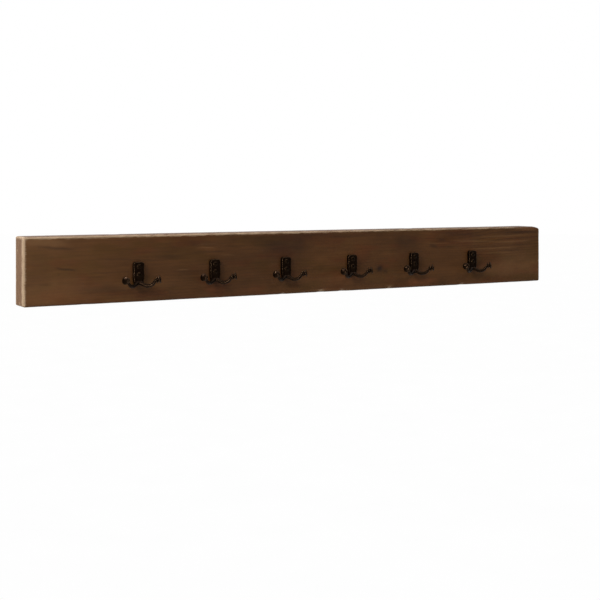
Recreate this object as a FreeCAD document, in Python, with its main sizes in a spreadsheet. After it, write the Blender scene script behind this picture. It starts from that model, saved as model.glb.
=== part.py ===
"""Wall hook rack: a thick plank with a row of double robe hooks and two keyhole hangers.

Millimetres. X runs along the plank to the right of someone who faces it, Y into the wall and
Z up. The origin is the centre of the plank's back face, which lies against the wall.
"""

import FreeCAD, Part
import math
import os
import Sketcher

HOOK_COUNT = 6

# Driving dimensions: lengths in millimetres, angles in degrees.
SIZES = {
    "board_length": 957,
    "board_height": 100,
    "board_thickness": 40,
    "board_edge_round": 3,
    "knocked_corner_run": 19,
    "knocked_corner_drop": 4.5,
    # The row of hooks was set out by hand, a little to the right of the middle.
    "hook_spacing": 125.4,
    "hook_row_shift": 6.7,
    "hook_foot_below_middle": 24.3,
    # A hook's back plate, with heights measured up from its foot.
    "plate_width": 17,
    "plate_foot_width": 13.4,
    "plate_taper_height": 9,
    "plate_height": 34,
    "plate_corner_round": 4,
    "plate_thickness": 6,
    "plate_edge_round": 1.2,
    # An arm leaves the middle of the plate, dips, rises and levels out behind its button.
    "arm_splay": 32,
    "arm_start_depth": 3,
    "arm_start_radius": 3.3,
    "arm_end_radius": 2.3,
    "arm_dip_angle": 25,
    "arm_dip_reach": 14.3,
    "arm_dip_depth": 1.6,
    "arm_bend_radius": 11,
    "arm_rise_angle": 60,
    "arm_tip_bend_radius": 5,
    "arm_reach": 27.8,
    # A button is a spool: a collar, a waist and a domed disc on one tilted axis.
    "button_tilt": 12,
    "collar_radius": 5.2,
    "collar_rim_half": 0.6,
    "collar_back": 1.4,
    "waist_radius": 2.9,
    "waist_start": 1.4,
    "waist_end": 3,
    "button_radius": 6,
    "button_rim_start": 3.5,
    "button_rim_end": 4.6,
    "button_length": 6.2,
    # The wood screws that hold a hook, with heights measured up from the plate's foot.
    "screw_upper_height": 27,
    "screw_lower_height": 15,
    "screw_head_radius": 3.5,
    "screw_head_dome": 1,
    "screw_shank_radius": 1.75,
    "screw_hole_radius": 2.1,
    "screw_length": 24,
    "screw_point_length": 4,
    "recess_arm_length": 2.1,
    "recess_half_width": 0.45,
    "recess_depth": 1.5,
    # Room between a screw and its hole, and beyond its point.
    "screw_clearance": 0.1,
    "pilot_extra_depth": 1,
    # Keyhole hangers, which hang on two wall screws that stand two stud bays apart.
    "hanger_spacing": 812.8,
    "hanger_height": 22,
    "hanger_width": 16,
    "hanger_length": 42,
    "hanger_thickness": 2,
    "hanger_clearance": 0.2,
    "hanger_screw_reach": 16,
    "keyhole_entry_radius": 4.75,
    "keyhole_entry_drop": 4,
    "keyhole_slot_radius": 2.3,
    "keyhole_slot_rise": 7,
    "keyhole_pocket_radius": 5.5,
    "keyhole_pocket_depth": 12,
    "hanger_screw_head_radius": 2.9,
    "hanger_screw_shank_radius": 1.4,
    "hanger_screw_length": 16,
    "hanger_screw_point_length": 3,
    "hanger_recess_arm_length": 1.7,
    "hanger_recess_depth": 1.2,
}

HOOK_FOOT = "-sizes.hook_foot_below_middle"
HOOK_SCREW_HEIGHTS = {"upper": "sizes.screw_upper_height", "lower": "sizes.screw_lower_height"}
HANGER_PLACES = {"left": "-sizes.hanger_spacing / 2", "right": "sizes.hanger_spacing / 2"}
HANGER_SCREW_REACHES = {"upper": "sizes.hanger_screw_reach", "lower": "-sizes.hanger_screw_reach"}

# Hand-driven screws stop at different angles: this many degrees on from one to the next.
SCREW_TURN_STEP = 37

doc = FreeCAD.newDocument("wall_hook_rack")


def make_sheet():
    """The spreadsheet of driving dimensions: names in column A, values in column B."""
    table = doc.addObject("Spreadsheet::Sheet", "sizes")
    for row, (alias, number) in enumerate(SIZES.items(), start=1):
        table.set(f"A{row}", alias)
        table.set(f"B{row}", str(number))
        table.setAlias(f"B{row}", alias)
    doc.recompute()
    return table


sheet = make_sheet()


def value_of(expression):
    """The number that an expression on the sheet gives."""
    result = sheet.evalExpression(expression)
    return float(getattr(result, "Value", result))


def vector(x=0.0, y=0.0, z=0.0):
    return FreeCAD.Vector(x, y, z)


def turned(axis, angle):
    """A rotation about one of the axes x, y or z, in degrees."""
    return FreeCAD.Rotation(vector(**{axis: 1.0}), angle)


# Sketches and features


def new_body(name):
    """An empty body whose label is the name of its sub-part."""
    body = doc.addObject("PartDesign::Body", name)
    body.Label = name
    return body


def place(body, x, y, z, rotation=None):
    """Put a body at a point given by expressions on the sheet."""
    if rotation is not None:
        body.Placement = FreeCAD.Placement(vector(), rotation)
    for axis, expression in zip("xyz", (x, y, z)):
        body.setExpression(f"Placement.Base.{axis}", expression)


def origin_plane(body, role):
    """One of a body's own origin planes, by its role."""
    return next(item for item in body.Origin.OriginFeatures if item.Role == role)


def new_sketch(body, name, role="XZ_Plane", offset=None, lift=None):
    """A sketch on an origin plane, moved by an offset, or lifted by an expression."""
    sketch = body.newObject("Sketcher::SketchObject", f"{body.Name}_{name}")
    sketch.AttachmentSupport = [(origin_plane(body, role), "")]
    sketch.MapMode = "FlatFace"
    if offset is not None:
        sketch.AttachmentOffset = offset
    if lift is not None:
        sketch.setExpression("AttachmentOffset.Base.z", lift)
    return sketch


def bind(sketch, constraint, expression):
    """Add a dimension to a sketch and bind it to an expression."""
    index = sketch.addConstraint(constraint)
    sketch.setExpression(f"Constraints[{index}]", expression)


def bind_point(sketch, edge, vertex, x, y):
    """Bind both coordinates of an edge's vertex to expressions."""
    bind(sketch, Sketcher.Constraint("DistanceX", -1, 1, edge, vertex, value_of(x)), x)
    bind(sketch, Sketcher.Constraint("DistanceY", -1, 1, edge, vertex, value_of(y)), y)


def arc_between(start, end, radius):
    """The shorter arc that turns anticlockwise from start to end."""
    chord = end - start
    rise = math.sqrt(max(radius**2 - chord.Length**2 / 4, 0))
    centre = (start + end) * 0.5 + vector(-chord.y, chord.x).normalize() * rise
    angles = [math.atan2(point.y - centre.y, point.x - centre.x) for point in (start, end)]
    return Part.ArcOfCircle(Part.Circle(centre, vector(z=1), radius), *angles)


def outline(sketch, corners):
    """A closed anticlockwise outline whose corners (x, y) are expressions.

    A corner with a third expression starts an arc of that radius in place of a line.
    """
    points = [vector(value_of(corner[0]), value_of(corner[1])) for corner in corners]
    edges = []
    for number, corner in enumerate(corners):
        start, end = points[number], points[(number + 1) % len(points)]
        if len(corner) == 3:
            edge = sketch.addGeometry(arc_between(start, end, value_of(corner[2])), False)
            bind(sketch, Sketcher.Constraint("Radius", edge, value_of(corner[2])), corner[2])
        else:
            edge = sketch.addGeometry(Part.LineSegment(start, end), False)
        bind_point(sketch, edge, 1, corner[0], corner[1])
        edges.append(edge)
    for edge, following in zip(edges, edges[1:] + edges[:1]):
        sketch.addConstraint(Sketcher.Constraint("Coincident", edge, 2, following, 1))


def slot(sketch, x, low, high, radius):
    """An upright slot with round ends, whose end centres are at heights low and high."""
    left, right = f"{x} - {radius}", f"{x} + {radius}"
    outline(
        sketch,
        [
            (right, low),
            (right, high, radius),
            (x, f"{high} + {radius}", radius),
            (left, high),
            (left, low, radius),
            (x, f"{low} - {radius}", radius),
        ],
    )


def circle(sketch, x, y, radius):
    """A circle whose centre and radius are expressions."""
    centre = vector(value_of(x), value_of(y))
    edge = sketch.addGeometry(Part.Circle(centre, vector(z=1), value_of(radius)), False)
    bind_point(sketch, edge, 3, x, y)
    bind(sketch, Sketcher.Constraint("Radius", edge, value_of(radius)), radius)


def pad(body, sketch, length):
    """Pad a sketch along its own normal."""
    feature = body.newObject("PartDesign::Pad", f"{sketch.Name}_pad")
    feature.Profile = sketch
    feature.setExpression("Length", length)
    doc.recompute()
    return feature


def require_less(body, before):
    """Stop if the body's last feature, a cut, has taken nothing away."""
    doc.recompute()
    if not body.Shape.Volume < before:
        raise RuntimeError(f"{body.Tip.Name} cuts nothing")


def pocket(body, sketch, depth, reverse=False):
    """Cut a sketch into the body, against its normal or, in reverse, along it."""
    before = body.Shape.Volume
    feature = body.newObject("PartDesign::Pocket", f"{sketch.Name}_pocket")
    feature.Profile = sketch
    feature.Reversed = reverse
    feature.setExpression("Length", depth)
    require_less(body, before)


def groove(body, sketch):
    """Cut a sketch, turned round its own vertical axis, out of the body."""
    before = body.Shape.Volume
    feature = body.newObject("PartDesign::Groove", f"{sketch.Name}_groove")
    feature.Profile = sketch
    feature.ReferenceAxis = (sketch, ["V_Axis"])
    feature.Angle = 360
    require_less(body, before)


def revolve(body, sketch, axis):
    """Turn a sketch round one of its own axes into solid."""
    feature = body.newObject("PartDesign::Revolution", f"{sketch.Name}_revolution")
    feature.Profile = sketch
    feature.ReferenceAxis = (sketch, [axis])
    feature.Angle = 360
    doc.recompute()
    return feature


def fillet(body, base, radius, wanted):
    """Round those edges of the body's last feature whose bounding boxes are wanted."""
    numbered = enumerate(base.Shape.Edges, start=1)
    names = [f"Edge{number}" for number, edge in numbered if wanted(edge.BoundBox)]
    feature = body.newObject("PartDesign::Fillet", f"{base.Name}_fillet")
    feature.Base = (base, names)
    feature.setExpression("Radius", radius)
    doc.recompute()


def countersunk_hole(body, name, height, ends, hole, head):
    """A hole along Y through a plate, countersunk at 90 degrees from the first of its two ends."""
    wide, narrow = ends
    sign = "+" if value_of(narrow) > value_of(wide) else "-"
    cone_end = f"{wide} {sign} ({head} - {hole})"
    sketch = new_sketch(body, name, role="XY_Plane", lift=height)
    outline(sketch, [("0", wide), (head, wide), (hole, cone_end), (hole, narrow), ("0", narrow)])
    groove(body, sketch)


# The plank


def hook_place(number):
    """Expression for where a hook's middle stands along the plank, counting from 0."""
    steps = number - (HOOK_COUNT - 1) / 2
    return f"sizes.hook_row_shift + {steps} * sizes.hook_spacing"


def board_blank(body):
    """The plank with eased long edges and its top right corner knocked off."""
    half_length, half_height = "sizes.board_length / 2", "sizes.board_height / 2"
    run, drop = "sizes.knocked_corner_run", "sizes.knocked_corner_drop"
    sketch = new_sketch(body, "outline")
    outline(
        sketch,
        [
            (f"-{half_length}", f"-{half_height}"),
            (half_length, f"-{half_height}"),
            (half_length, f"{half_height} - {drop}", f"({run}^2 + {drop}^2) / (2 * {drop})"),
            (f"{half_length} - {run}", half_height),
            (f"-{half_length}", half_height),
        ],
    )
    blank = pad(body, sketch, "sizes.board_thickness")
    least = value_of(half_length)
    fillet(body, blank, "sizes.board_edge_round", lambda box: box.XLength > least)


def board_pilot_holes(body):
    """Blind holes in the front face for the screws of the hooks."""
    sketch = new_sketch(body, "pilot_holes", lift="sizes.board_thickness")
    radius = "sizes.screw_shank_radius + sizes.screw_clearance"
    for number in range(HOOK_COUNT):
        for height in HOOK_SCREW_HEIGHTS.values():
            circle(sketch, hook_place(number), f"{HOOK_FOOT} + {height}", radius)
    pocket(body, sketch, "sizes.screw_length - sizes.plate_thickness + sizes.pilot_extra_depth")


def board_hanger_recesses(body):
    """In the back, for each hanger: a shallow seat, a pocket behind its keyhole, pilot holes."""
    middle = "sizes.hanger_height"
    span = "(sizes.hanger_length - sizes.hanger_width) / 2"
    seat_radius = "(sizes.hanger_width / 2 + sizes.hanger_clearance)"
    pocket_low = f"{middle} - sizes.keyhole_entry_drop"
    pocket_high = f"{middle} + sizes.keyhole_slot_rise"
    pilot_radius = "sizes.hanger_screw_shank_radius + sizes.screw_clearance"
    seats, pockets, pilots = (
        new_sketch(body, name) for name in ("hanger_seats", "keyhole_pockets", "hanger_pilots")
    )
    for x in HANGER_PLACES.values():
        slot(seats, x, f"{middle} - {span}", f"{middle} + {span}", seat_radius)
        slot(pockets, x, pocket_low, pocket_high, "sizes.keyhole_pocket_radius")
        for reach in HANGER_SCREW_REACHES.values():
            circle(pilots, x, f"{middle} + {reach}", pilot_radius)
    pocket(body, seats, "sizes.hanger_thickness", reverse=True)
    pocket(body, pockets, "sizes.keyhole_pocket_depth", reverse=True)
    pocket(body, pilots, "sizes.hanger_screw_length + sizes.pilot_extra_depth", reverse=True)


def make_board():
    """The plank, with everything that is cut into it."""
    body = new_body("board")
    board_blank(body)
    board_pilot_holes(body)
    board_hanger_recesses(body)
    return body


# The hooks


def hook_plate(body):
    """A hook's back plate, which stands out of the plank's face towards -Y."""
    half, half_foot = "sizes.plate_width / 2", "sizes.plate_foot_width / 2"
    taper, top = "sizes.plate_taper_height", "sizes.plate_height"
    corner = "sizes.plate_corner_round"
    sketch = new_sketch(body, "plate")
    outline(
        sketch,
        [
            (f"-{half_foot}", "0"),
            (half_foot, "0"),
            (half, taper),
            (half, f"{top} - {corner}", corner),
            (f"{half} - {corner}", top),
            (f"-{half} + {corner}", top, corner),
            (f"-{half}", f"{top} - {corner}"),
            (f"-{half}", taper),
        ],
    )
    plate = pad(body, sketch, "sizes.plate_thickness")
    middle = value_of("-sizes.plate_thickness / 2")
    fillet(body, plate, "sizes.plate_edge_round", lambda box: box.YMax < middle)


def arm_plane(reach=0.0, height=0.0, slope=0.0):
    """The upright plane of the right arm, or that plane moved and turned within itself.

    Its x runs outwards along the arm and its y runs up.
    """
    start = vector(z=value_of("sizes.arm_start_depth"))
    plane = FreeCAD.Placement(start, turned("y", -value_of("sizes.arm_splay")))
    return plane * FreeCAD.Placement(vector(reach, height), turned("z", slope))


def arm_path(sketch):
    """The middle line of an arm: a run down, a bend, a rise and a bend towards the button.

    Returns the line's start and end in the arm's plane.
    """
    names = ("arm_dip_angle", "arm_rise_angle", "button_tilt")
    dip, rise, tilt = (math.radians(value_of(f"sizes.{name}")) for name in names)
    bend, tip_bend = value_of("sizes.arm_bend_radius"), value_of("sizes.arm_tip_bend_radius")
    centre_height = "sizes.arm_bend_radius - sizes.arm_dip_depth"
    centre = vector(value_of("sizes.arm_dip_reach"), value_of(centre_height))
    bend_start = centre + vector(-math.sin(dip), -math.cos(dip)) * bend
    bend_end = centre + vector(math.sin(rise), -math.cos(rise)) * bend
    start = vector(y=bend_start.y + bend_start.x * math.tan(dip))
    tip_run = tip_bend * (math.sin(rise) - math.sin(tilt))
    rise_run = value_of("sizes.arm_reach") - tip_run - bend_end.x
    rise_end = bend_end + vector(rise_run, rise_run * math.tan(rise))
    tip_centre = rise_end + vector(math.sin(rise), -math.cos(rise)) * tip_bend
    end = tip_centre + vector(-math.sin(tilt), math.cos(tilt)) * tip_bend
    low_circle = Part.Circle(centre, vector(z=1), bend)
    tip_circle = Part.Circle(tip_centre, vector(z=1), tip_bend)
    quarter = math.pi / 2
    edges = [
        Part.LineSegment(start, bend_start),
        Part.ArcOfCircle(low_circle, -quarter - dip, rise - quarter),
        Part.LineSegment(bend_end, rise_end),
        Part.ArcOfCircle(tip_circle, quarter + tilt, quarter + rise),
    ]
    run, low, rising, tip = (sketch.addGeometry(edge, False) for edge in edges)
    sketch.addConstraint(Sketcher.Constraint("Tangent", run, 2, low, 1))
    sketch.addConstraint(Sketcher.Constraint("Tangent", low, 2, rising, 1))
    sketch.addConstraint(Sketcher.Constraint("Tangent", rising, 2, tip, 2))
    sketch.addConstraint(Sketcher.Constraint("PointOnObject", run, 1, -2))
    bind_point(sketch, low, 3, "sizes.arm_dip_reach", centre_height)
    bind(sketch, Sketcher.Constraint("Radius", low, bend), "sizes.arm_bend_radius")
    bind(sketch, Sketcher.Constraint("Radius", tip, tip_bend), "sizes.arm_tip_bend_radius")
    bind(sketch, Sketcher.Constraint("Angle", run, -dip), "-sizes.arm_dip_angle * 1deg")
    bind(sketch, Sketcher.Constraint("Angle", rising, rise), "sizes.arm_rise_angle * 1deg")
    bind(sketch, Sketcher.Constraint("DistanceX", -1, 1, tip, 1, end.x), "sizes.arm_reach")
    tip_offset = "-sizes.arm_tip_bend_radius * sin(sizes.button_tilt * 1deg)"
    bind(sketch, Sketcher.Constraint("DistanceX", tip, 3, tip, 1, value_of(tip_offset)), tip_offset)
    return start, end


def arm_section(body, name, point, slope, radius):
    """A round section square to the arm's middle line."""
    across = FreeCAD.Placement(vector(), turned("y", 90))
    sketch = new_sketch(body, name, offset=arm_plane(point.x, point.y, slope) * across)
    circle(sketch, "0", "0", radius)
    return sketch


def hook_arm(body):
    """The right arm, which narrows from the plate to its button, and where it ends."""
    path = new_sketch(body, "arm_path", offset=arm_plane())
    start, end = arm_path(path)
    dip, tilt = value_of("-sizes.arm_dip_angle"), value_of("sizes.button_tilt")
    root = arm_section(body, "arm_root", start, dip, "sizes.arm_start_radius")
    tip = arm_section(body, "arm_tip", end, tilt, "sizes.arm_end_radius")
    arm = body.newObject("PartDesign::AdditivePipe", f"{body.Name}_arm")
    arm.Profile = root
    arm.Sections = [(tip, [""])]
    arm.Spine = (path, [])
    arm.Transformation = "Multisection"
    doc.recompute()
    return arm, end


def hook_button(body, arm_end):
    """The right button: a collar, a waist and a domed disc round one axis."""
    rim, collar = "sizes.collar_rim_half", "sizes.collar_radius"
    waist, disc = "sizes.waist_radius", "sizes.button_radius"
    dome = "(sizes.button_length - sizes.button_rim_end)"
    tilt = value_of("sizes.button_tilt")
    sketch = new_sketch(body, "button", offset=arm_plane(arm_end.x, arm_end.y, tilt))
    outline(
        sketch,
        [
            ("-sizes.collar_back", "0"),
            ("sizes.button_length", "0", f"({dome}^2 + {disc}^2) / (2 * {dome})"),
            ("sizes.button_rim_end", disc),
            ("sizes.button_rim_start", disc),
            ("sizes.waist_end", waist),
            ("sizes.waist_start", waist),
            (rim, collar),
            (f"-{rim}", collar),
            ("-sizes.collar_back", "sizes.arm_end_radius"),
        ],
    )
    return revolve(body, sketch, "H_Axis")


def make_hook(number):
    """One hook, a single casting, whose own origin is where its foot meets the plank's face."""
    body = new_body(f"hook_{number + 1}")
    hook_plate(body)
    arm, arm_end = hook_arm(body)
    button = hook_button(body, arm_end)
    left_side = body.newObject("PartDesign::Mirrored", f"{body.Name}_left_side")
    left_side.Originals = [arm, button]
    left_side.MirrorPlane = (origin_plane(body, "YZ_Plane"), [""])
    body.Tip = left_side
    doc.recompute()
    ends = ("-sizes.plate_thickness", "0")
    head = "(sizes.screw_head_radius + sizes.screw_clearance)"
    for row, height in HOOK_SCREW_HEIGHTS.items():
        countersunk_hole(body, f"{row}_hole", height, ends, "sizes.screw_hole_radius", head)
    place(body, hook_place(number), "-sizes.board_thickness", HOOK_FOOT)
    return body


# The screws


def screw_recess(body, arm, depth, lift):
    """The cross recess in a screw's head, from a level at or above the head's top."""
    half = "sizes.recess_half_width"
    sketch = new_sketch(body, "recess", lift=lift)
    outline(
        sketch,
        [
            (half, f"-{arm}"),
            (half, f"-{half}"),
            (arm, f"-{half}"),
            (arm, half),
            (half, half),
            (half, arm),
            (f"-{half}", arm),
            (f"-{half}", half),
            (f"-{arm}", half),
            (f"-{arm}", f"-{half}"),
            (f"-{half}", f"-{half}"),
            (f"-{half}", f"-{arm}"),
        ],
    )
    pocket(body, sketch, depth)


def screw_shank(head, shank, length, point):
    """The corners of a countersunk screw's side, from its head's rim to its point, along +Y."""
    return [
        (head, "0"),
        (shank, f"{head} - {shank}"),
        (shank, f"{length} - {point}"),
        ("0", length),
    ]


def make_hook_screw(number, row, height):
    """A raised countersunk wood screw, driven towards +Y, with its head's rim at its own Y = 0."""
    body = new_body(f"hook_screw_{row}_{number + 1}")
    head, dome = "sizes.screw_head_radius", "sizes.screw_head_dome"
    side = screw_shank(head, "sizes.screw_shank_radius", "sizes.screw_length", "sizes.screw_point_length")
    sketch = new_sketch(body, "side", role="XY_Plane")
    outline(sketch, [("0", f"-{dome}", f"({dome}^2 + {head}^2) / (2 * {dome})"), *side])
    revolve(body, sketch, "V_Axis")
    screw_recess(body, "sizes.recess_arm_length", f"{dome} + sizes.recess_depth", dome)
    steps = number + HOOK_COUNT * list(HOOK_SCREW_HEIGHTS).index(row)
    face = "-sizes.board_thickness - sizes.plate_thickness"
    turn = turned("y", steps * SCREW_TURN_STEP)
    place(body, hook_place(number), face, f"{HOOK_FOOT} + {height}", turn)
    return body


def make_hanger_screw(side, row, steps):
    """A flat countersunk wood screw, driven towards -Y through a hanger from the back."""
    body = new_body(f"hanger_screw_{side}_{row}")
    sketch = new_sketch(body, "side", role="XY_Plane")
    corners = screw_shank(
        "sizes.hanger_screw_head_radius",
        "sizes.hanger_screw_shank_radius",
        "sizes.hanger_screw_length",
        "sizes.hanger_screw_point_length",
    )
    outline(sketch, [("0", "0"), *corners])
    revolve(body, sketch, "V_Axis")
    screw_recess(body, "sizes.hanger_recess_arm_length", "sizes.hanger_recess_depth", "0")
    turn = turned("z", 180) * turned("y", steps * SCREW_TURN_STEP)
    place(body, HANGER_PLACES[side], "0", f"sizes.hanger_height + {HANGER_SCREW_REACHES[row]}", turn)
    return body


# The keyhole hangers


def make_hanger(side):
    """A keyhole hanger: a round-ended steel plate, flush with the plank's back, seen from +Y."""
    body = new_body(f"keyhole_hanger_{side}")
    span = "(sizes.hanger_length - sizes.hanger_width) / 2"
    low = "-sizes.keyhole_entry_drop"
    plate = new_sketch(body, "plate")
    slot(plate, "0", f"-{span}", span, "sizes.hanger_width / 2")
    pad(body, plate, "sizes.hanger_thickness")
    entry = new_sketch(body, "keyhole_entry")
    circle(entry, "0", low, "sizes.keyhole_entry_radius")
    pocket(body, entry, "sizes.hanger_thickness", reverse=True)
    neck = new_sketch(body, "keyhole_slot")
    slot(neck, "0", low, "sizes.keyhole_slot_rise", "sizes.keyhole_slot_radius")
    pocket(body, neck, "sizes.hanger_thickness", reverse=True)
    ends = ("0", "-sizes.hanger_thickness")
    hole = "(sizes.hanger_screw_shank_radius + sizes.screw_clearance)"
    head = "(sizes.hanger_screw_head_radius + sizes.screw_clearance)"
    for row, reach in HANGER_SCREW_REACHES.items():
        countersunk_hole(body, f"{row}_hole", reach, ends, hole, head)
    place(body, HANGER_PLACES[side], "0", "sizes.hanger_height")
    return body


def make_parts():
    """Every sub-part of the rack."""
    parts = [make_board()]
    for number in range(HOOK_COUNT):
        parts.append(make_hook(number))
        for row, height in HOOK_SCREW_HEIGHTS.items():
            parts.append(make_hook_screw(number, row, height))
    for side in HANGER_PLACES:
        parts.append(make_hanger(side))
        for row in HANGER_SCREW_REACHES:
            parts.append(make_hanger_screw(side, row, steps=len(parts)))
    doc.recompute()
    return parts


def check_and_write(parts):
    """Stop if anything has failed, and otherwise write each sub-part to its own file."""
    failed = [item.Name for item in doc.Objects if {"Invalid", "Error"} & set(item.State)]
    if failed:
        raise RuntimeError(f"these objects failed: {failed}")
    for body in parts:
        if body.Shape.isNull() or not body.Shape.isValid() or len(body.Shape.Solids) != 1:
            raise RuntimeError(f"{body.Label} isn't one valid solid")
    os.makedirs("parts", exist_ok=True)
    for body in parts:
        body.Shape.exportStep(f"parts/{body.Label}.step")
        print(f"{body.Label}: {body.Shape.Volume:.0f} cubic millimetres")


check_and_write(make_parts())
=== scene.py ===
import math
from contextlib import contextmanager

import bmesh
import bpy
import numpy as np
from mathutils import Matrix, Vector, noise


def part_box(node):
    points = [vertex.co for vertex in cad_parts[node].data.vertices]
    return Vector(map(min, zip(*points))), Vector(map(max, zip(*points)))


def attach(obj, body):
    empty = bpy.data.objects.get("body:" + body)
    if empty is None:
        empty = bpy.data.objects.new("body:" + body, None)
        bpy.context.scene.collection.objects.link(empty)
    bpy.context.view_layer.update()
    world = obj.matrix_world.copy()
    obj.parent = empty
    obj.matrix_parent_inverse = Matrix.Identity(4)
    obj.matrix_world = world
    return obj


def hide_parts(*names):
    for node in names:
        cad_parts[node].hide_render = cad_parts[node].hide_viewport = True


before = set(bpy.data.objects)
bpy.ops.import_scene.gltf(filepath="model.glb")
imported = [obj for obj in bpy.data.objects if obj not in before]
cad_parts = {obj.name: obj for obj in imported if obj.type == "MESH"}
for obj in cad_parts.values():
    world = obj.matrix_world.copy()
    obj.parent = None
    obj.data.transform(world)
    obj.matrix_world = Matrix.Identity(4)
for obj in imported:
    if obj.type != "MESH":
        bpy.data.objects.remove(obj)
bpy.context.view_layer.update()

# Shapes are worked out in millimetres and scaled to metres when they are done.
MM = 0.001
HOOKS = 6
SIDES = ("left", "right")
ROWS = ("upper", "lower")


def box_mm(node):
    low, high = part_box(node)
    return low / MM, high / MM


def middle_mm(node):
    low, high = box_mm(node)
    return (low + high) / 2


board_low, board_high = box_mm("board")
HALF_LENGTH = board_high.x
HALF_HEIGHT = board_high.z
FACE_Y = board_low.y


# Small helpers


def smooth(value):
    """0 up to 0, 1 from 1, and an even curve between."""
    value = min(1.0, max(0.0, value))
    return value * value * (3 - 2 * value)


def wobble(x, y=0.0, z=0.0):
    """Smooth noise between -1 and 1."""
    return noise.noise(Vector((x, y, z)))


def srgb(red, green, blue):
    """A screen colour as the linear colour that a shader takes."""
    parts = [c / 255 for c in (red, green, blue)]
    linear = [c / 12.92 if c < 0.04 else ((c + 0.055) / 1.055) ** 2.4 for c in parts]
    return (*linear, 1)


def placed(name, data):
    """A new object in the scene."""
    made = bpy.data.objects.new(name, data)
    bpy.context.scene.collection.objects.link(made)
    return made


@contextmanager
def editing(mesh):
    """A bmesh of a mesh, which goes back into it at the end."""
    build = bmesh.new()
    build.from_mesh(mesh)
    yield build
    build.to_mesh(mesh)
    build.free()


def mesh_from(name, points, faces):
    mesh = bpy.data.meshes.new(name)
    mesh.from_pydata([tuple(p) for p in points], [], faces)
    mesh.update()
    return mesh


def shaped(mesh, *modifiers):
    """The mesh that some modifiers make of a mesh; each is (type, settings)."""
    work = placed("work", mesh)
    for kind, settings in modifiers:
        modifier = work.modifiers.new(kind, kind)
        for name, value in settings.items():
            setattr(modifier, name, value)
    graph = bpy.context.evaluated_depsgraph_get()
    made = bpy.data.meshes.new_from_object(work.evaluated_get(graph))
    bpy.data.objects.remove(work)
    return made


def cut(mesh, cutter):
    """A mesh without what a closed cutter mesh holds."""
    tool = placed("cutter", cutter)
    settings = {"object": tool, "operation": "DIFFERENCE", "solver": "EXACT"}
    made = shaped(mesh, ("BOOLEAN", settings))
    bpy.data.objects.remove(tool)
    return made


def joined(name, *meshes):
    """One mesh of several closed shells."""
    build = bmesh.new()
    for mesh in meshes:
        build.from_mesh(mesh)
    made = bpy.data.meshes.new(name)
    build.to_mesh(made)
    build.free()
    return made


def store(mesh, name, values):
    mesh.attributes.new(name, "FLOAT", "POINT").data.foreach_set("value", values)


def in_metres(mesh, sharp):
    """The finished mesh in metres, shaded smooth but for edges over sharp degrees."""
    mesh.transform(Matrix.Scale(MM, 4))
    mesh.shade_smooth()
    mesh.set_sharp_from_angle(angle=math.radians(sharp))
    return mesh


def show(name, mesh, material, stands_for, place=Matrix()):
    """A piece of the rack, which takes the place of a CAD node."""
    mesh.materials.clear()
    mesh.materials.append(material)
    piece = placed(name, mesh)
    piece.matrix_world = place
    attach(piece, "root")
    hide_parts(stands_for)


# Materials


class Shader:
    """A material, built one node at a time."""

    def __init__(self, name):
        self.material = bpy.data.materials.new(name)
        self.material.use_nodes = True
        self.tree = self.material.node_tree
        self.tree.nodes.clear()

    def node(self, kind, inputs=None, **settings):
        made = self.tree.nodes.new("ShaderNode" + kind)
        for name, value in settings.items():
            setattr(made, name, value)
        for key, value in (inputs or {}).items():
            if isinstance(value, bpy.types.NodeSocket):
                self.tree.links.new(value, made.inputs[key])
            else:
                made.inputs[key].default_value = value
        return made

    def millimetres(self):
        at = self.node("TexCoord").outputs["Object"]
        return self.stretched(at, 1 / MM, 1 / MM, 1 / MM)

    def stretched(self, vector, x, y, z):
        scale = self.node("VectorMath", {0: vector, 1: (x, y, z)}, operation="MULTIPLY")
        return scale.outputs[0]

    def shifted(self, vector, x, y, z):
        return self.node("VectorMath", {0: vector, 1: (x, y, z)}, operation="ADD").outputs[0]

    def noise(self, vector, size, detail, roughness):
        """Noise whose features are about size (x, y, z) across."""
        at = self.stretched(vector, *(1 / s for s in size))
        inputs = {"Vector": at, "Scale": 1.0, "Detail": detail, "Roughness": roughness}
        return self.node("TexNoise", inputs).outputs[0]

    def math(self, operation, a, b=0.0):
        return self.node("Math", {0: a, 1: b}, operation=operation).outputs[0]

    def between(self, value, low, high, out_low=0.0, out_high=1.0):
        """value from low..high to out_low..out_high along an even curve."""
        inputs = {0: value, 1: low, 2: high, 3: out_low, 4: out_high}
        return self.node("MapRange", inputs, interpolation_type="SMOOTHSTEP").outputs[0]

    def ramp(self, value, *stops):
        """A grey level that follows stops of (place, level)."""
        made = self.node("ValToRGB", {0: value})
        elements = made.color_ramp.elements
        while len(elements) < len(stops):
            elements.new(0.5)
        for element, (place, level) in zip(elements, stops):
            element.position = place
            element.color = (level, level, level, 1)
        return made.outputs[0]

    def mix(self, share, a, b, blend="MIX"):
        inputs = {0: share, 6: a, 7: b}
        return self.node("Mix", inputs, data_type="RGBA", blend_type=blend).outputs[2]

    def times(self, colour, level):
        """A colour made lighter or darker by a grey level."""
        return self.mix(1.0, colour, level, "MULTIPLY")

    def attribute(self, name):
        return self.node("Attribute", attribute_name=name).outputs["Fac"]

    def bump(self, height, depth_mm, normal=None):
        inputs = {"Strength": 1.0, "Distance": depth_mm * MM, "Height": height}
        if normal is not None:
            inputs["Normal"] = normal
        return self.node("Bump", inputs).outputs[0]

    def finish(self, **inputs):
        names = {
            "colour": "Base Color", "metallic": "Metallic", "roughness": "Roughness",
            "specular": "Specular IOR Level", "normal": "Normal",
        }
        shader = self.node("BsdfPrincipled", {names[k]: v for k, v in inputs.items()})
        self.node("OutputMaterial", {0: shader.outputs[0]})
        return self.material


# What paint_plank puts on the plank's points for the wood to read
WOOD_MARKS = ("rings", "contrast", "dark", "pale", "warm", "wear_and_highlight", "end")

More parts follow.
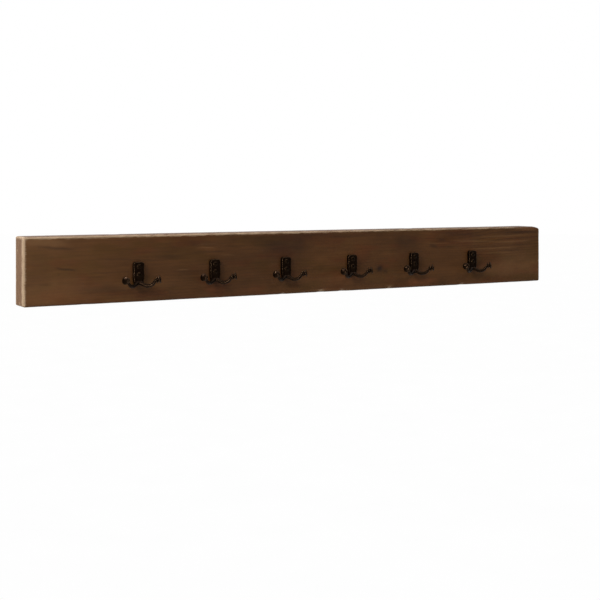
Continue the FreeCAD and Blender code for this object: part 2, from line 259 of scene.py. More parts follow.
STAINED, STAINED_RING = srgb(86, 54, 25), srgb(58, 34, 14)
REDDER, OLIVER = srgb(255, 222, 214), srgb(236, 242, 208)
PALE, WARM, DARK, PORE = srgb(120, 86, 54), srgb(116, 66, 36), srgb(36, 22, 13), srgb(34, 21, 12)
# The sawn ends' colours: their own end grain, made lighter than the stained face partly as painted
# light from the lamps at the left
END_WOOD_AND_LIGHT, END_RING_AND_LIGHT = srgb(106, 76, 49), srgb(74, 50, 28)
# Bare wood on the worn arrises, and the painted highlight on the top arris
BARE_AND_HIGHLIGHT = srgb(158, 134, 108)


def wood_material():
    """Dark-stained softwood: rings, fibres, stain in patches, worn pale arrises and sawn ends, with
    painted light: paler towards the left end, lighter ends and a highlight on the top arris.
    """
    s = Shader("board_wood")
    at = s.millimetres()
    marks = {n: s.attribute(n) for n in WOOD_MARKS}

    ring = s.math("FRACT", marks["rings"])
    grain = s.ramp(ring, (0, 0.1), (0.6, 0.16), (0.82, 0.6), (0.92, 1), (1, 0.1))
    grain = s.math("MULTIPLY", grain, marks["contrast"])
    colour = s.mix(grain, STAINED, STAINED_RING)

    streaks = s.noise(at, (90, 5, 3.5), 3, 0.6)
    colour = s.times(colour, s.ramp(streaks, (0.3, 0.9), (0.5, 1.0), (0.7, 1.06)))
    fibres = s.noise(at, (22, 0.9, 0.7), 4, 0.6)
    colour = s.times(colour, s.ramp(fibres, (0.25, 0.9), (0.75, 1.07)))
    patches = s.noise(at, (120, 40, 34), 3, 0.55)
    colour = s.times(colour, s.ramp(patches, (0.32, 0.8), (0.68, 1.14)))
    reds = s.noise(s.shifted(at, 300, 0, 70), (70, 24, 22), 2, 0.5)
    colour = s.mix(s.between(reds, 0.48, 0.66, 0, 0.6), colour, s.times(colour, REDDER))
    olives = s.noise(s.shifted(at, -200, 50, 20), (80, 26, 20), 2, 0.5)
    colour = s.mix(s.between(olives, 0.48, 0.66, 0, 0.8), colour, s.times(colour, OLIVER))

    # Pale stain marks, and painted light that makes the front paler towards the left end
    colour = s.mix(s.math("MULTIPLY", marks["pale"], 0.8), colour, PALE)
    colour = s.mix(s.math("MULTIPLY", marks["warm"], 0.7), colour, WARM)
    colour = s.mix(s.math("MULTIPLY", marks["dark"], 0.85), colour, DARK)
    pores = s.noise(s.shifted(at, 0, 9, 90), (9, 0.7, 0.6), 2, 0.5)
    pores = s.between(pores, 0.66, 0.76)
    colour = s.mix(s.math("MULTIPLY", pores, 0.45), colour, PORE)

    # The sawn ends, lighter than the face: their own end grain, and partly painted light from the
    # left
    end_fibres = s.noise(at, (3, 0.5, 0.5), 3, 0.6)
    end_rings = s.mix(grain, END_WOOD_AND_LIGHT, END_RING_AND_LIGHT)
    lit_end_colour = s.times(end_rings, s.ramp(end_fibres, (0.3, 0.7), (0.7, 1.2)))
    colour = s.mix(marks["end"], colour, lit_end_colour)

    # Worn bare arrises; on the top arris the pale band is partly a painted highlight from the light
    # above
    broken = s.noise(at, (14, 2.2, 2.2), 4, 0.65)
    worn = s.math("ADD", marks["wear_and_highlight"], s.between(broken, 0.3, 0.7, -0.2, 0.2))
    worn = s.between(worn, 0.15, 0.95)
    bare = s.times(BARE_AND_HIGHLIGHT, s.ramp(fibres, (0.2, 0.75), (0.7, 1.1)))
    colour = s.mix(worn, colour, bare)

    roughness = s.between(fibres, 0.25, 0.75, 0.44, 0.6)
    normal = s.bump(fibres, 0.12)
    normal = s.bump(pores, -0.15, normal)
    return s.finish(colour=colour, roughness=roughness, specular=0.2, normal=normal)


def bronze_material(name, base, rubbed, rough):
    """Dark cast bronze, blotched, and rubbed bare where the 'edge' attribute is high."""
    s = Shader(name)
    at = s.millimetres()
    blotches = s.noise(at, (3.5, 3.5, 3.5), 3, 0.6)
    colour = s.mix(s.between(blotches, 0.35, 0.65), base, s.times(base, srgb(190, 160, 140)))
    scratches = s.noise(at, (0.5, 0.5, 2.5), 3, 0.6)
    edge = s.math("ADD", s.attribute("edge"), s.between(scratches, 0.35, 0.65, -0.25, 0.25))
    edge = s.between(edge, 0.35, 0.8, 0, 0.8)
    colour = s.mix(edge, colour, rubbed)
    grit = s.noise(at, (0.45, 0.45, 0.45), 3, 0.7)
    blotched = s.between(blotches, 0.3, 0.7, rough - 0.07, rough + 0.09)
    roughness = s.math("ADD", blotched, s.math("MULTIPLY", edge, -0.1))
    normal = s.bump(grit, 0.05)
    normal = s.bump(blotches, 0.12, normal)
    return s.finish(colour=colour, metallic=0.94, roughness=roughness, normal=normal)


def zinc_material(name, tint):
    """Zinc-plated steel: soft spangle and fine rolling lines."""
    s = Shader(name)
    at = s.millimetres()
    cloud = s.noise(at, (6, 6, 6), 3, 0.55)
    lines = s.noise(at, (0.25, 0.25, 9), 3, 0.6)
    colour = s.times(tint, s.ramp(cloud, (0.3, 0.78), (0.7, 1.08)))
    colour = s.times(colour, s.ramp(lines, (0.3, 0.9), (0.7, 1.08)))
    roughness = s.between(cloud, 0.3, 0.7, 0.3, 0.48)
    normal = s.bump(lines, 0.02)
    return s.finish(colour=colour, metallic=1.0, roughness=roughness, normal=normal)


# The plank

# Points round a section, over a rounded corner and along the wide and the narrow sides
CORNER_STEPS, FACE_POINTS, EDGE_POINTS = 6, 80, 28
# Sections over an end, over its rounded edge, beside it and along the rest of the plank
CAP_RINGS, ARC_ROWS, END_ROWS, MIDDLE_ROWS = 14, 7, 4, 232
# How far from an end the beside rows go, and how far inside the section an end's middle lies
END_ZONE, CORE_INSET = 14.0, 20

# The knocked-off corner: how long and how deep it is, and how far down it squeezes the wood
KNOCK_RUN, KNOCK_DROP, KNOCK_BAND = 19.0, 3.3, 15.0


def arris_radii(x):
    """How round the four long arrises are at x: bottom front, top front, top back, bottom back."""
    left = smooth((-150 - x) / 330)
    bottom = 3.2 + 0.9 * wobble(x / 47, 1.3) + 0.5 * wobble(x / 13, 8.2)
    top = 3.6 + 0.9 * left + 0.8 * wobble(x / 55, 4.4) + 0.4 * wobble(x / 14, 2.6)
    back = 2.3 + 0.4 * wobble(x / 40, 6.1)
    return bottom, top, back, back


def outline(x):
    """The plank's section at x: points (y, z, outward y, outward z, core).

    The core is the height that a point shrinks to at the middle of the plank's end.
    """
    bottom, top, top_back, bottom_back = arris_radii(x)
    corners = [
        (FACE_Y + bottom, -HALF_HEIGHT + bottom, bottom, 270),
        (FACE_Y + top, HALF_HEIGHT - top, top, 180),
        (-top_back, HALF_HEIGHT - top_back, top_back, 90),
        (-bottom_back, -HALF_HEIGHT + bottom_back, bottom_back, 0),
    ]
    counts = (FACE_POINTS, EDGE_POINTS, FACE_POINTS, EDGE_POINTS)
    core = HALF_HEIGHT - CORE_INSET
    ends = [(-core, core), (core, core), (core, -core), (-core, -core)]
    points = []
    for (y, z, radius, start), count, (core_start, core_end), following in zip(
        corners, counts, ends, corners[1:] + corners[:1]
    ):
        for step in range(CORNER_STEPS):
            angle = math.radians(start - 90 * step / CORNER_STEPS)
            out_y, out_z = math.cos(angle), math.sin(angle)
            points.append((y + radius * out_y, z + radius * out_z, out_y, out_z, core_start))
        angle = math.radians(start - 90)
        out_y, out_z = math.cos(angle), math.sin(angle)
        first = (y + radius * out_y, z + radius * out_z)
        last = (following[0] + following[2] * out_y, following[1] + following[2] * out_z)
        for step in range(count):
            share = step / count
            at = [a + (b - a) * share for a, b in zip(first, last)]
            points.append((*at, out_y, out_z, core_start + (core_end - core_start) * share))
    return points


def end_radius(side, out_y, out_z, z):
    """How round an end edge is, by which way the long side beside it faces."""
    if side < 0:
        front, ends = 3.2 + 0.7 * wobble(z / 11, 3) + 0.4 * wobble(z / 4), 3.0
    else:
        front, ends = 1.3 + 0.25 * wobble(z / 9), 2.0
    faces = (max(0, -out_y), front), (max(0, out_y), 2.4), (abs(out_z), ends)
    return sum(share * share * radius for share, radius in faces)


def near_hook(x, z):
    """1 under a hook's plate and 0 a little away from it, so that the face is flat there."""
    best = 0.0
    for low, high in HOOK_PLATES:
        away = max(low[0] - x, x - high[0], low[1] - z, z - high[1])
        best = max(best, 1 - smooth(away / 5))
    return best


def from_dent(x, y, z, cx, cy, cz):
    """How far a point is from a dent's middle; dents are longer along the plank."""
    return math.dist((x * 0.6, y, z), (cx * 0.6, cy, cz))


def relief(x, y, z, out_y):
    """How deep the surface lies under the plain shape: saw waves, worn soft rings and dents."""
    flat = 1.0
    if out_y < -0.9:
        flat = 1 - near_hook(x, z)
    if out_y > 0.9:
        flat = 0.4
    rings = ring_phase(x, y, z)
    fraction = rings - math.floor(rings)
    soft = 1 - smooth((fraction - 0.4) / 0.45) + smooth((fraction - 0.93) / 0.07)
    depth = 0.10 + 0.10 * wobble(x / 70, y / 25, z / 22)
    depth += 0.13 * soft * contrast(x, y, z)
    depth += 0.06 + 0.06 * wobble(x / 9, y / 5, z / 5)
    depth *= flat
    for cx, cy, cz, reach, deep in DENTS:
        away = from_dent(x, y, z, cx, cy, cz)
        if away < reach:
            depth += deep * (1 - smooth(away / reach)) * (0.8 + 0.4 * wobble(x / 2.5, y / 2, z / 2))
    return depth


def knocked(point):
    """A point moved down under the knocked-off corner at the top right."""
    x, y, z = point
    run = x - (HALF_LENGTH - KNOCK_RUN)
    base = HALF_HEIGHT - KNOCK_BAND
    if run <= 0 or z <= base:
        return point
    radius = (KNOCK_RUN**2 + KNOCK_DROP**2) / (2 * KNOCK_DROP)
    drop = radius - math.sqrt(max(0, radius**2 - run**2))
    return x, y, base + (z - base) * (1 - drop / KNOCK_BAND)


def plank_rings():
    """The plank's rings of points from left to right, each a list of (point, outward direction)."""
    rings = []
    for side in (-1, 1):
        section = outline(side * HALF_LENGTH)
        rounds = [end_radius(side, oy, oz, z) for y, z, oy, oz, _ in section]
        half = []
        for ring in range(CAP_RINGS):
            share = 1 - ring / CAP_RINGS
            row = []
            for (y, z, oy, oz, core), radius in zip(section, rounds):
                y, z = y - oy * radius, z - oz * radius
                y, z = y + (FACE_Y / 2 - y) * share, z + (core - z) * share
                row.append(((side * HALF_LENGTH, y, z), (side, 0, 0)))
            half.append(row)
        for step in range(ARC_ROWS + 1):
            angle = math.pi / 2 * (1 - step / ARC_ROWS)
            row = []
            for (y, z, oy, oz, _), radius in zip(section, rounds):
                x = side * (HALF_LENGTH - radius * (1 - math.sin(angle)))
                inward = radius * (1 - math.cos(angle))
                out = (side * math.sin(angle), oy * math.cos(angle), oz * math.cos(angle))
                row.append(((x, y - oy * inward, z - oz * inward), out))
            half.append(row)
        for step in range(1, END_ROWS + 1):
            share = step / END_ROWS
            section = outline(side * (HALF_LENGTH - END_ZONE * share))
            row = []
            for (y, z, oy, oz, _), radius in zip(section, rounds):
                x = side * (HALF_LENGTH - radius - (END_ZONE - radius) * share)
                row.append(((x, y, z), (0, oy, oz)))
            half.append(row)
        rings.append(half if side < 0 else half[::-1])
    inner = HALF_LENGTH - END_ZONE
    long_rows = []
    for step in range(1, MIDDLE_ROWS):
        x = -inner + 2 * inner * step / MIDDLE_ROWS
        long_rows.append([((x, y, z), (0, oy, oz)) for y, z, oy, oz, _ in outline(x)])
    return rings[0] + long_rows + rings[1]


# The holes for the rack's screws, and a hanger's keyhole and the pocket behind it
PLATE_PILOT, HANGER_PILOT, HANGER_GAP = 1.85, 1.5, 0.2
POCKET, POCKET_DEPTH = 5.5, 12
KEYHOLE_LOW, KEYHOLE_HIGH, KEYHOLE_ENTRY, KEYHOLE_SLOT = -4, 7, 4.75, 2.3
HANGER_SCREW_HEIGHTS = (-16, 16)


def stadium(x, z_low, z_high, radius, y_low, y_high, steps=20):
    """A closed bar along Y with a round-ended section, or a round one where z_low is z_high."""
    profile = []
    for z, start in ((z_high, 0), (z_low, 180)):
        for step in range(steps + (z_low != z_high)):
            angle = math.radians(start + 180 * step / steps)
            profile.append((x + radius * math.cos(angle), z + radius * math.sin(angle)))
    count = len(profile)
    points = [(px, y_low, pz) for px, pz in profile] + [(px, y_high, pz) for px, pz in profile]
    faces = [tuple(range(count)), tuple(range(2 * count - 1, count - 1, -1))]
    faces += [((k + 1) % count, k, k + count, (k + 1) % count + count) for k in range(count)]
    return mesh_from("prism", points, faces)


def hook_pilots():
    pilots = []
    for number in range(1, HOOKS + 1):
        for row in ROWS:
            low, high = box_mm(f"hook_screw_{row}_{number}")
            x, z = (low + high).xz / 2
            pilots.append(stadium(x, z, z, PLATE_PILOT, FACE_Y - 3, high.y + 1, 12))
    return pilots


def hanger_cuts():
    """Seats and pilot-and-pocket holes for the hangers, as two lists."""
    seats, deep = [], []
    for side in SIDES:
        low, high = box_mm(f"keyhole_hanger_{side}")
        x, radius = (low.x + high.x) / 2, (high.x - low.x) / 2
        middle = (low.z + high.z) / 2
        seat = (low.z + radius, high.z - radius, radius + HANGER_GAP)
        seats.append(stadium(x, *seat, low.y, 2))
        keyhole = (middle + KEYHOLE_LOW, middle + KEYHOLE_HIGH)
        deep.append(stadium(x, *keyhole, POCKET, -POCKET_DEPTH, 2))
        for row in ROWS:
            low, high = box_mm(f"hanger_screw_{side}_{row}")
            x_screw, z = (low + high).xz / 2
            deep.append(stadium(x_screw, z, z, HANGER_PILOT, low.y - 1, 2, 12))
    return seats, deep


def plank_mesh():
    rings = plank_rings()
    points = []
    for row in rings:
        for (x, y, z), (ox, oy, oz) in row:
            depth = relief(x, y, z, oy)
            points.append(knocked((x - ox * depth, y - oy * depth, z - oz * depth)))
    around = len(rings[0])
    faces = []
    for row in range(len(rings) - 1):
        for k in range(around):
            a, b = row * around + k, row * around + (k + 1) % around
            faces.append((a, a + around, b + around, b))
    mesh = mesh_from("plank", points, faces)
    with editing(mesh) as build:
        ends = [v for v in build.verts if abs(v.co.x) > HALF_LENGTH - 3]
        bmesh.ops.remove_doubles(build, verts=ends, dist=0.02)
        bmesh.ops.recalc_face_normals(build, faces=build.faces)
    seats, deep = hanger_cuts()
    mesh = cut(mesh, joined("cutter", *seats, *hook_pilots()))
    mesh = cut(mesh, joined("cutter", *deep))
    paint_plank(mesh)
    return in_metres(mesh, 40)


# Where the plank's grain and marks are, in millimetres on its front face

# (x, z, half length, half height)
KNOTS = [(126, -14.5, 5.0, 4.4), (137, -20, 3.2, 3.4)]

# (x, z, half length, half height, strength, rise per mm)
DARK_MARKS = [
    (-431, 33, 25, 1.7, 0.55, -0.10), (-417, 2, 15, 1.4, 0.75, -0.12),
    (-363, -4.5, 17, 1.0, 0.35, -0.03), (-372, -11, 12, 1.0, 0.25, 0),
    (-318, 13, 42, 1.1, 0.4, -0.05), (-448, -19, 8, 1.6, 0.3, 0), (-367, -30, 36, 7, 0.28, 0),
    (-455, 12, 14, 22, 0.12, 0), (-187, 21.5, 27, 1.5, 0.4, -0.02),
    (-201, 35, 26, 4.5, 0.35, -0.05), (-259, 15, 22, 3.2, 0.3, 0), (-216, -8, 26, 3, 0.25, 0),
    (-60, 27, 44, 15, 0.42, -0.05), (-30, 43, 80, 3, 0.25, 0), (126, -14.5, 6, 5.2, 1.0, 0),
    (137, -20, 4, 4.4, 0.6, 0), (238, 20, 8, 2.8, 0.55, -0.1), (262, 17, 26, 1.2, 0.3, 0),
    (256, 30, 8, 3, 0.35, 0), (300, 39, 42, 3.6, 0.38, -0.04), (440, 40, 30, 1.5, 0.5, -0.02),
    (180, 30, 26, 12, 0.3, 0), (60, 40, 40, 2.4, 0.35, 0), (350, 16, 40, 1.1, 0.25, 0),
    (410, 8, 30, 1.3, 0.3, 0), (-119, 0, 62, 90, 0.28, 0), (-240, 0, 45, 60, 0.16, 0),
    (146, 22, 60, 30, 0.26, 0), (10, 34, 60, 20, 0.26, 0), (285, -2, 60, 40, 0.14, 0),
    (432, 41, 46, 1.2, 0.5, 0.04), (424, 29, 40, 1.0, 0.3, 0.01), (405, 18, 44, 1.0, 0.3, 0),
    (190, 8, 32, 34, 0.2, 0), (-50, 4, 40, 30, 0.14, 0),
]
PALE_MARKS = [
    (-450, 42, 34, 7, 0.5, -0.08), (-420, -30, 52, 14, 0.24, 0), (-194, 27.7, 13, 0.8, 0.6, 0),
    (-233, -4.6, 9, 0.9, 0.55, 0), (-192, 33, 16, 0.9, 0.35, 0), (-158, 15.5, 13, 0.8, 0.4, 0),
    (445, 46, 26, 3, 0.55, -0.06), (330, 26, 46, 1.1, 0.45, -0.03),
    (415, 23.5, 38, 1.2, 0.6, 0.02), (396, 34, 50, 1.2, 0.55, 0.02),
    (372, 12.5, 52, 1.1, 0.5, 0.01), (380, 4, 40, 1.0, 0.3, 0), (250, 24, 20, 1.1, 0.3, 0),
    (430, -24, 60, 16, 0.22, 0), (425, -6, 46, 22, 0.22, 0), (90, -34, 120, 10, 0.14, 0),
    (12, -46, 22, 2, 0.4, 0), (52, -48, 14, 1.6, 0.5, 0), (146, -45, 7, 1.5, 0.6, 0),
    (-290, -25, 50, 8, 0.14, 0), (380, -26, 36, 14, 0.2, 0), (312, 28, 30, 10, 0.12, 0),
]
WARM_MARKS = [
    (215, -41, 30, 7, 0.8, 0), (-176, -37, 20, 3.5, 0.5, 0), (-118, -40, 22, 3.5, 0.35, 0),
    (-440, -38, 60, 8, 0.1, 0), (380, 30, 50, 1.4, 0.2, 0.02), (-90, 46, 30, 3, 0.35, 0),
    (62, -28, 30, 9, 0.4, 0),
]

# (x, y, z, reach, depth) of dents in the arrises and the faces
DENTS = [
    (-262, -38, 50, 5, 1.2), (-13, -38, 49, 5, 1.3), (12, -39, -48, 7, 1.0),
    (52, -39, -49, 6, 1.3), (146, -39, -48, 4, 1.4), (-60, -39, -49, 5, 0.8),
    (300, -39, -49, 6, 0.8), (-390, -39, -48.5, 6, 0.6), (-470, -38, 10, 6, 0.6),
    (-472, -39, -22, 7, 0.7), (-330, -2, 49, 6, 1.0), (210, -3, 49, 7, 1.1),
    (90, -1, -49, 7, 1.2), (-180, -1, -49, 6, 0.9), (388, -20, -50, 8, 0.5),
    (-250, -22, 50, 9, 0.4), (110, -18, 50, 10, 0.4), (476, -34, 22, 5, 0.8),
    (477, -10, -40, 6, 0.9), (-476, -8, 30, 5, 0.9), (-477, -20, -46, 6, 0.8),
    (330, -1, 12, 8, 0.5), (-60, -1, -20, 10, 0.4), (318, -40, -30, 5, 0.35),
    (-126, -40, 30, 4, 0.3), (18, -40, 26, 4, 0.3),
]


def hook_x(number):
    low, high = box_mm(f"hook_{number}")
    return (low.x + high.x) / 2


# A hook's plate: half its width, half its foot's, and the heights of its foot and top
PLATE_HALF, FOOT_HALF = 8.5, 6.7
PLATE_FOOT, PLATE_TOP = -24.3, 9.7
HOOK_PLATES = [
    ((hook_x(n) - PLATE_HALF, PLATE_FOOT), (hook_x(n) + PLATE_HALF, PLATE_TOP))
    for n in range(1, HOOKS + 1)
]


# Where the pith is at the left end, behind the face and above the middle, how far it
# drifts per mm, and how wide a ring is
PITH_BACK, PITH_HEIGHT, PITH_DRIFT, RING_WIDTH = 40, 66, 0.012, 4.2


def ring_phase(x, y, z):
    """How many growth rings lie between the pith and a point."""
    along = x + HALF_LENGTH
    pith_y = FACE_Y + PITH_BACK + PITH_DRIFT * along + 6 * wobble(x / 260, 3.1)
    pith_z = PITH_HEIGHT + PITH_DRIFT * along + 6 * wobble(x / 220, 7.7)
    radius = math.hypot(y - pith_y, z - pith_z)
    radius += 1.5 * wobble(x / 170, y / 40, z / 38) + 0.5 * wobble(x / 55, y / 12, z / 12 + 5)
    phase = radius / RING_WIDTH + 0.6 * wobble(radius / 14, 1.7)
    phase -= 2.6 * math.exp(-(((x - 262) / 95) ** 2) - ((z - 46) / 26) ** 2)
    for knot_x, knot_z, half_x, half_z in KNOTS:
        away = ((x - knot_x) / (half_x * 3.2)) ** 2 + ((z - knot_z) / (half_z * 2.4)) ** 2
        if away < 9:
            phase += 1.6 * math.exp(-away)
    return phase


def contrast(x, y, z):
    """How strongly the rings show: faint at the left, strong at the upper right."""
    level = 0.22 + 0.2 * wobble(x / 120, y / 30, z / 30 + 3)
    level += 0.4 * smooth((x - 150) / 200) * smooth((z + 10) / 30)
    if y > -1.5:
        level += 0.3
    return min(1.0, max(0.06, level))


def marked(marks, x, z):
    total = 0.0
    for cx, cz, half_x, half_z, strength, rise in marks:
        along = (x - cx) / half_x
        if abs(along) < 2:
            across = (z - cz - rise * (x - cx)) / half_z + 0.5 * wobble(x / 11, cz, z / 9)
            total += strength * math.exp(-(along**4) - across * across)
    return total


# Where the top arris's worn band and painted highlight fade towards the right, and over what length
TOP_WEAR_END, TOP_WEAR_FADE = 410, 25

ARRISES = (
    # (the two faces that meet, how worn, how far the worn band reaches back from the first face
    # across the second, and from the second across the first; on the front-top arris the band is
    # partly a painted highlight)
    ("front", "left", 1.15, 17, 5.6),
    ("front", "top", 1.2, 4.5, 6.6),
    ("front", "bottom", 0.55, 3.5, 3.2),
    ("front", "right", 0.3, 3, 2),
    ("left", "top", 1.0, 6, 7),
    ("left", "bottom", 0.8, 5, 5),
    ("left", "back", 0.9, 5, 9),
    ("right", "top", 0.5, 3, 4),
    ("right", "bottom", 0.7, 4, 4),
    ("right", "back", 0.7, 4, 4),
    ("back", "top", 0.75, 4.5, 4),
    ("back", "bottom", 0.7, 4, 4),
)


def wear_and_highlight(x, y, z):
    """How bare a point is: 1 on a rubbed arris, 0 on a face; along the top arrises it is partly a
    painted highlight.
    """
    top = HALF_HEIGHT
    run = x - (HALF_LENGTH - KNOCK_RUN)
    if run > 0:
        top -= KNOCK_DROP * (run / KNOCK_RUN) ** 2
    away = {
        "front": y - FACE_Y, "back": -y, "top": top - z, "bottom": z + HALF_HEIGHT,
        "left": x + HALF_LENGTH, "right": HALF_LENGTH - x,
    }
    worn = 0.0
    for one, other, strength, reach_one, reach_other in ARRISES:
        gap = max(away[one] / reach_one, away[other] / reach_other)
        # On the top arrises the worn band is partly a painted highlight from the light above,
        # weaker towards the right
        if "top" in (one, other):
            rightwards = smooth((x + 420) / 800)
            gap *= 1 + 0.25 * rightwards
            faded = 1 - 0.75 * smooth((x - TOP_WEAR_END) / TOP_WEAR_FADE)
            strength *= (1 - 0.15 * rightwards) * faded
        if gap < 1:
            worn = max(worn, strength * (1 - smooth(gap)))
    worn *= 0.92 + 0.3 * wobble(x / 18, y / 9, z / 9)
    for cx, cy, cz, reach, deep in DENTS:
        gap = from_dent(x, y, z, cx, cy, cz)
        if gap < reach and deep > 0.7:
            worn = max(worn, 0.7 * (1 - smooth(gap / reach)))
    return worn


def paint_plank(mesh):
    """Puts what the wood material reads on each point of the plank."""
    values = {n: [] for n in WOOD_MARKS}
    for vertex in mesh.vertices:
        x, y, z = vertex.co
        on_front = smooth((FACE_Y + 3 - y) / 2)
        left = smooth((-300 - x) / 260)
        values["rings"].append(ring_phase(x, y, z))
        values["contrast"].append(contrast(x, y, z))
        values["dark"].append(marked(DARK_MARKS, x, z) * on_front)
        # pale: the pale stain marks, plus painted light (the 0.3 * left share) that makes the wood
        # paler towards the left end, where the lamps at the left shine
        values["pale"].append(marked(PALE_MARKS, x, z) * on_front + 0.3 * left)
        values["warm"].append(marked(WARM_MARKS, x, z) * on_front)
        values["wear_and_highlight"].append(wear_and_highlight(x, y, z))
        values["end"].append(smooth((abs(x) - HALF_LENGTH + 3.2) / 2.4))
    for name, column in values.items():
        store(mesh, name, column)


# The hooks, about a point where the foot of the plate meets the plank's face

# An arm's angles: out from the plank, down into its dip, up out of it, and at its tip
SPLAY, DIP_ANGLE, RISE_ANGLE, TILT = (math.radians(a) for a in (32, 25, 60, 12))
# Where the dip's lowest point is, the arm's two bends, and its whole reach
DIP_REACH, DIP_DEPTH, BEND, TIP_BEND, REACH = 14.3, 1.6, 11.0, 5.0, 27.8
# How far inside the plate an arm starts, and its radius there and at its button
ARM_DEPTH, ARM_START, ARM_END, ARM_STEPS = 3.0, 3.3, 2.3, 28
# A button's radius, and where its domed face starts and how high it is
BUTTON_RADIUS, DOME_START, DOME = 6.0, 4.6, 1.6
# The plate's depth, top corners and rounded edges, and how high its taper and its sides go
PLATE_DEPTH, PLATE_CORNER, PLATE_BEVEL, PLATE_TAPER, PLATE_SIDES = 6.0, 4, 1.25, 9.0, 30.0
SCREW_HEIGHTS = (27.0, 15.0)
HOOK_VOXEL = 0.36


def in_arm(reach, height, side):
    """A point of an arm's upright plane, from how far out and how high it is."""
    return Vector((side * reach * math.cos(SPLAY), -ARM_DEPTH - reach * math.sin(SPLAY), height))


def arm_line():
    """Points (reach, height) along an arm's middle line, from inside the plate to its button."""
    centre = Vector((DIP_REACH, BEND - DIP_DEPTH))
    low_start = centre + BEND * Vector((-math.sin(DIP_ANGLE), -math.cos(DIP_ANGLE)))
    low_end = centre + BEND * Vector((math.sin(RISE_ANGLE), -math.cos(RISE_ANGLE)))
    start = Vector((0, low_start.y + low_start.x * math.tan(DIP_ANGLE)))
    tip_run = TIP_BEND * (math.sin(RISE_ANGLE) - math.sin(TILT))
    rise = REACH - tip_run - low_end.x
    rise_end = low_end + Vector((rise, rise * math.tan(RISE_ANGLE)))
    tip = rise_end + TIP_BEND * Vector((math.sin(RISE_ANGLE), -math.cos(RISE_ANGLE)))
    line = [start.lerp(low_start, k / 6) for k in range(6)]
    for k in range(17):
        angle = -DIP_ANGLE + (DIP_ANGLE + RISE_ANGLE) * k / 16
        line.append(centre + BEND * Vector((math.sin(angle), -math.cos(angle))))
    for k in range(7):
        angle = RISE_ANGLE + (TILT - RISE_ANGLE) * k / 6
        line.append(tip + TIP_BEND * Vector((-math.sin(angle), math.cos(angle))))
    return line


def ring_shell(rows, name):
    """A closed shell over rings of points, with a flat face at each end."""
    count = len(rows[0])
    points = [p for row in rows for p in row]
    faces = [tuple(range(count)), tuple(range(len(points) - 1, len(points) - count - 1, -1))]
    for row in range(len(rows) - 1):
        for k in range(count):
            a, b = row * count + k, row * count + (k + 1) % count
            faces.append((b, a, a + count, b + count))
    mesh = mesh_from(name, points, faces)
    with editing(mesh) as build:
        bmesh.ops.recalc_face_normals(build, faces=build.faces)
    return mesh


def circle(middle, across, other, radius, steps):
    row = []
    for k in range(steps):
        angle = 2 * math.pi * k / steps
        row.append(middle + (across * math.cos(angle) + other * math.sin(angle)) * radius)
    return row


def turned(axis_start, axis, profile, steps=40):
    """A shell turned round an axis, from its profile of (along, radius)."""
    across = axis.orthogonal().normalized()
    rows = []
    for along, radius in profile:
        rows.append(circle(axis_start + axis * along, across, axis.cross(across), radius, steps))
    return ring_shell(rows, "turned")


def arm_mesh(side):
    line = arm_line()
    lengths = [0.0]
    for a, b in zip(line, line[1:]):
        lengths.append(lengths[-1] + (b - a).length)
    sideways = Vector((math.sin(SPLAY), side * math.cos(SPLAY), 0))
    rows = []
    for k, at in enumerate(line):
        before, after = line[max(0, k - 1)], line[min(len(line) - 1, k + 1)]
        along = (in_arm(*after, side) - in_arm(*before, side)).normalized()
        upright = along.cross(sideways).normalized()
        share = lengths[k] / lengths[-1]
        radius = ARM_START + (ARM_END - ARM_START) * share
        rows.append(circle(in_arm(*at, side), sideways, upright, radius, ARM_STEPS))
    return ring_shell(rows, "arm")


def button_mesh(side):
    """A collar, a waist and a domed disc."""
    end = in_arm(*arm_line()[-1], side)
    ahead = in_arm(math.cos(TILT), math.sin(TILT), side) - in_arm(0, 0, side)
    profile = [(-1.4, ARM_END), (-0.6, 5.0), (-0.35, 5.2), (0.35, 5.2), (0.6, 5.0)]
    profile += [(1.3, 2.9), (3.0, 2.9), (3.3, 5.6), (3.6, 5.95), (4.4, 5.98)]
    radius = (DOME * DOME + BUTTON_RADIUS**2) / (2 * DOME)
    for k in range(9):
        r = 5.8 * (1 - k / 9)
        profile.append((DOME_START - (radius - DOME) + math.sqrt(radius * radius - r * r), r))
    profile.append((DOME_START + DOME, 0.05))
    return turned(end, ahead.normalized(), profile)


def rounded(build, edges, radius, segments):
    settings = {"segments": segments, "profile": 0.5, "affect": "EDGES"}
    bmesh.ops.bevel(build, geom=edges, offset=radius, **settings)


def plate_mesh():
    """The back plate: a foot, a taper, straight sides, round top corners and soft front edges."""
    profile = [(-FOOT_HALF, 0.0), (FOOT_HALF, 0.0)]
    profile += [(PLATE_HALF, PLATE_TAPER), (PLATE_HALF, PLATE_SIDES)]
    for k in range(1, 7):
        angle = math.pi / 2 * k / 6
        x = PLATE_HALF - PLATE_CORNER + PLATE_CORNER * math.cos(angle)
        profile.append((x, PLATE_SIDES + PLATE_CORNER * math.sin(angle)))
    profile += [(-x, z) for x, z in profile[:1:-1]]
    count = len(profile)
    points = [(x, y, z) for y in (0.0, -PLATE_DEPTH) for x, z in profile]
    faces = [tuple(range(count)), tuple(range(2 * count - 1, count - 1, -1))]
    faces += [(k, (k + 1) % count, (k + 1) % count + count, k + count) for k in range(count)]
    mesh = mesh_from("plate", points, faces)
    with editing(mesh) as build:
        bmesh.ops.recalc_face_normals(build, faces=build.faces)
        front = [e for e in build.edges if all(v.co.y < -PLATE_DEPTH / 2 for v in e.verts)]
        rounded(build, front, PLATE_BEVEL, 4)
    return mesh


